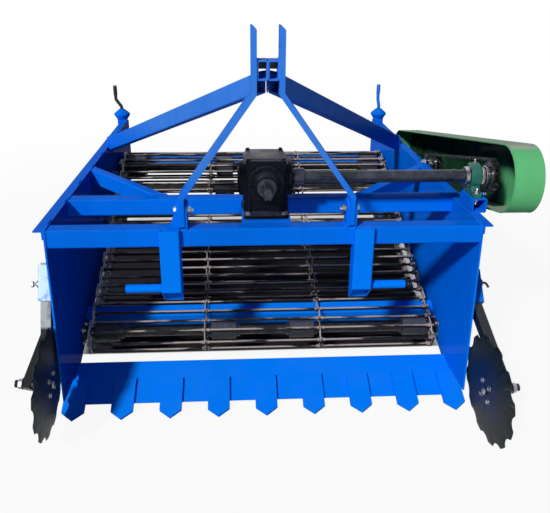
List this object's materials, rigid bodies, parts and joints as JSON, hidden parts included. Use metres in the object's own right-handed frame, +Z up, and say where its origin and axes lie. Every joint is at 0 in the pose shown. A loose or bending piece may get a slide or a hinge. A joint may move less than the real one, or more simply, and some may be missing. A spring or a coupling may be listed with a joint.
{
  "type": "mounted potato harvester",
  "caption": "Tractor-mounted potato harvester: digging blade with pointed teeth, rod web conveyor, side drive from a gearbox, notched discs and rear depth wheels on a welded frame.",
  "frame": {"origin": "centre of the footprint box on the ground that the machine stands on", "axes": "+Z up, +Y towards the rear of the machine away from the tractor, +X towards the chain drive side"},
  "size_m": [1.747, 2.3606, 1.306],
  "materials": {
    "blue_paint": "gloss",
    "black_paint": "satin",
    "gearbox_paint": "satin",
    "dark_steel": "oiled",
    "worn_steel": "worn",
    "zinc_steel": "plated",
    "green_paint": "satin",
    "teal_paint": "painted",
    "rim_paint": "gloss",
    "tyre_rubber": "matte"
  },
  "bodies": {
    "frame": {"left_side_plate": "blue_paint", "left_top_rail": "blue_paint", "right_side_plate": "blue_paint", "right_top_rail": "blue_paint", "front_beam": "blue_paint", "gearbox_beam": "blue_paint", "rear_beam": "blue_paint", "left_corner_gusset": "blue_paint", "right_corner_gusset": "blue_paint", "left_hitch_leg": "blue_paint", "left_mast_bar": "blue_paint", "right_hitch_leg": "blue_paint", "right_mast_bar": "blue_paint", "lower_hitch_pins": "blue_paint", "mast_lugs": "blue_paint", "mast_spacer": "blue_paint", "mast_bolts": "zinc_steel", "left_rear_brace": "blue_paint", "right_rear_brace": "blue_paint", "gearbox_mount": "blue_paint", "gearbox_housing": "gearbox_paint", "gearbox_cover": "gearbox_paint", "input_shaft": "dark_steel", "output_shaft": "dark_steel", "bearing_support": "blue_paint", "shaft_bearing_block": "teal_paint", "drive_sprocket": "dark_steel", "idler_sprocket": "dark_steel", "driven_sprocket": "dark_steel", "drive_chain": "dark_steel", "chain_tensioner": "dark_steel", "chain_guard": "green_paint", "guard_stays": "blue_paint", "digging_blade": "blue_paint", "blade_teeth": "blue_paint", "web_rods": "worn_steel", "web_links": "dark_steel", "front_roller": "dark_steel", "support_roller": "dark_steel", "web_drive_shaft": "dark_steel", "web_bearings": "dark_steel", "web_cross_tube": "blue_paint", "disc_sleeves": "blue_paint", "left_disc_arm": "black_paint", "right_disc_arm": "black_paint", "left_wheel_post": "blue_paint", "right_wheel_post": "blue_paint", "left_crank_screw": "black_paint", "right_crank_screw": "blue_paint"},
    "left_disc_body": {"left_disc": "black_paint"},
    "left_leg_body": {"left_wheel_leg": "dark_steel"},
    "left_wheel_body": {"left_tyre": "tyre_rubber", "left_wheel_rim": "rim_paint"},
    "right_disc_body": {"right_disc": "black_paint"},
    "right_leg_body": {"right_wheel_leg": "dark_steel"},
    "right_wheel_body": {"right_tyre": "tyre_rubber", "right_wheel_rim": "rim_paint"}
  },
  "joints": [
    {"name": "left_disc_spin", "type": "hinge", "parent": "frame", "child": "left_disc_body", "pos_m": [-0.7295, -0.91769, 0.207], "axis": [-0.9986, 0, 0.0523], "continuous": true},
    {"name": "left_leg_slide", "type": "slide", "parent": "frame", "child": "left_leg_body", "axis": [0, 0, 1], "range_m": [-0.08, 0.08]},
    {"name": "left_wheel_spin", "type": "hinge", "parent": "left_leg_body", "child": "left_wheel_body", "pos_m": [-0.8185, 0.98031, 0.2], "axis": [1, 0, 0], "continuous": true},
    {"name": "right_disc_spin", "type": "hinge", "parent": "frame", "child": "right_disc_body", "pos_m": [0.7065, -0.99769, 0.1905], "axis": [0.9968, 0.061, 0.0522], "continuous": true},
    {"name": "right_leg_slide", "type": "slide", "parent": "frame", "child": "right_leg_body", "axis": [0, 0, 1], "range_m": [-0.08, 0.08]},
    {"name": "right_wheel_spin", "type": "hinge", "parent": "right_leg_body", "child": "right_wheel_body", "pos_m": [0.7955, 0.98031, 0.2], "axis": [1, 0, 0], "continuous": true}
  ]
}
